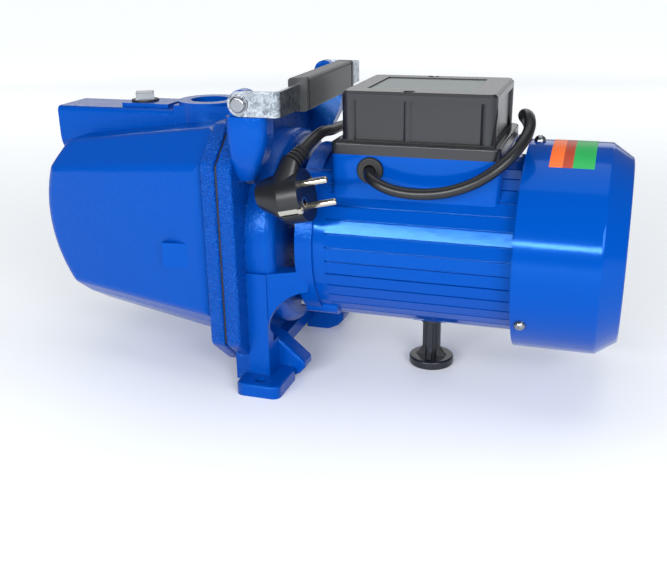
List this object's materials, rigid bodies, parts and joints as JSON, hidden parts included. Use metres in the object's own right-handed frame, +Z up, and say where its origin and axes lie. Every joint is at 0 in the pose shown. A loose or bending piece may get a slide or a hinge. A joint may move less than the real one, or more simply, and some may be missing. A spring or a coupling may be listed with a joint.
{
  "type": "shallow well jet pump",
  "caption": "Self-priming jet pump: cast ejector casing with threaded ports, bracket with feet, finned motor, terminal box, fold-up handle and mains lead.",
  "frame": {"origin": "midway between the two foot holes, on the base plane under the shaft axis", "axes": "+X along the shaft from the pump end to the fan end, +Z up, +Y to the far side seen with the pump end on the left"},
  "size_m": [0.4506, 0.2068, 0.2313],
  "materials": {
    "enamel_casing": "glossy blue enamel on cast iron",
    "enamel_bracket": "glossy blue enamel on cast iron",
    "enamel_motor": "glossy blue enamel on an extruded housing",
    "enamel_cover": "glossy blue enamel on pressed sheet",
    "gasket": "flat black",
    "seal_rubber": "satin black",
    "zinc_bolts": "bright zinc",
    "galvanised_strap": "spangled galvanised",
    "steel": "ground steel",
    "bearing_steel": "polished",
    "brass": "machined",
    "noryl": "moulded black plastic",
    "ceramic": "lapped ceramic",
    "carbon": "carbon face in a sprung carrier",
    "lamination": "laminated steel",
    "winding": "varnished copper",
    "aluminium": "cast",
    "black_plastic": "satin black",
    "fan_plastic": "satin black",
    "grip": "satin olive grey",
    "label_grey": "printed grey label, left blank",
    "label_bands": "colour bands, left blank",
    "capacitor_case": "drawn can",
    "terminal_plastic": "ivory",
    "foot_plastic": "satin black",
    "cord_pvc": "soft gloss black",
    "plug_pvc": "satin black",
    "nickel": "nickel plated"
  },
  "bodies": {
    "frame": {"pump_casing": "enamel_casing", "ejector_body": "noryl", "ejector_nozzle": "noryl", "ejector_o_ring": "seal_rubber", "diffuser": "noryl", "seal_seat": "ceramic", "casing_gasket": "gasket", "casing_bolts": "zinc_bolts", "casing_washers": "zinc_bolts", "bracket": "enamel_bracket", "handle_pivot_bolts": "zinc_bolts", "handle_washers": "zinc_bolts", "front_bearing_outer": "bearing_steel", "rear_bearing_outer": "bearing_steel", "wave_spring": "steel", "motor_housing": "enamel_motor", "stator_core": "lamination", "stator_winding": "winding", "motor_flange_screws": "zinc_bolts", "rear_end_shield": "aluminium", "end_shield_screws": "zinc_bolts", "fan_cover": "enamel_cover", "fan_cover_screws": "zinc_bolts", "cover_label": "label_bands", "terminal_box_base": "black_plastic", "box_base_screws": "zinc_bolts", "lid_gasket": "gasket", "terminal_box_lid": "black_plastic", "lid_screws": "black_plastic", "lid_label": "label_grey", "capacitor": "capacitor_case", "terminal_block": "terminal_plastic", "motor_foot": "foot_plastic", "motor_foot_screw": "zinc_bolts", "cable_grommet": "seal_rubber", "power_cord": "cord_pvc", "plug_body": "plug_pvc", "plug_pins": "nickel", "plug_earth_clips": "nickel", "plug_strain_relief": "plug_pvc"},
    "rotor": {"shaft": "steel", "impeller": "brass", "impeller_key": "steel", "impeller_nut": "brass", "seal_head": "carbon", "front_bearing_inner": "bearing_steel", "rear_bearing_inner": "bearing_steel", "slinger_ring": "seal_rubber", "rotor_core": "lamination", "fan": "fan_plastic", "fan_clip": "steel"},
    "front_balls": {"front_bearing_cage": "bearing_steel"},
    "rear_balls": {"rear_bearing_cage": "bearing_steel"},
    "handle": {"handle_strap": "galvanised_strap", "handle_grip": "grip"},
    "priming_closure": {"priming_plug": "zinc_bolts", "priming_plug_seal": "seal_rubber"},
    "drain_closure": {"drain_plug": "zinc_bolts", "drain_plug_seal": "seal_rubber"}
  },
  "joints": [
    {"name": "rotor_spin", "type": "hinge", "parent": "frame", "child": "rotor", "pos_m": [0, 0, 0.107], "axis": [1, 0, 0], "continuous": true},
    {"name": "front_cage_spin", "type": "hinge", "parent": "frame", "child": "front_balls", "pos_m": [0.0345, 0, 0.107], "axis": [1, 0, 0], "continuous": true},
    {"name": "rear_cage_spin", "type": "hinge", "parent": "frame", "child": "rear_balls", "pos_m": [0.1835, 0, 0.107], "axis": [1, 0, 0], "continuous": true},
    {"name": "handle_swing", "type": "hinge", "parent": "frame", "child": "handle", "pos_m": [-0.0025, 0, 0.2185], "axis": [0, -1, 0], "range_deg": [0, 105]},
    {"name": "priming_plug_lift", "type": "slide", "parent": "frame", "child": "priming_closure", "axis": [0, 0, 1], "range_m": [0, 0.03]},
    {"name": "drain_plug_pull", "type": "slide", "parent": "frame", "child": "drain_closure", "axis": [-1, 0, 0], "range_m": [0, 0.03]}
  ],
  "couplings": [
    {"joint": "front_cage_spin", "follows": "rotor_spin", "ratio": 0.3808},
    {"joint": "rear_cage_spin", "follows": "rotor_spin", "ratio": 0.3808}
  ]
}
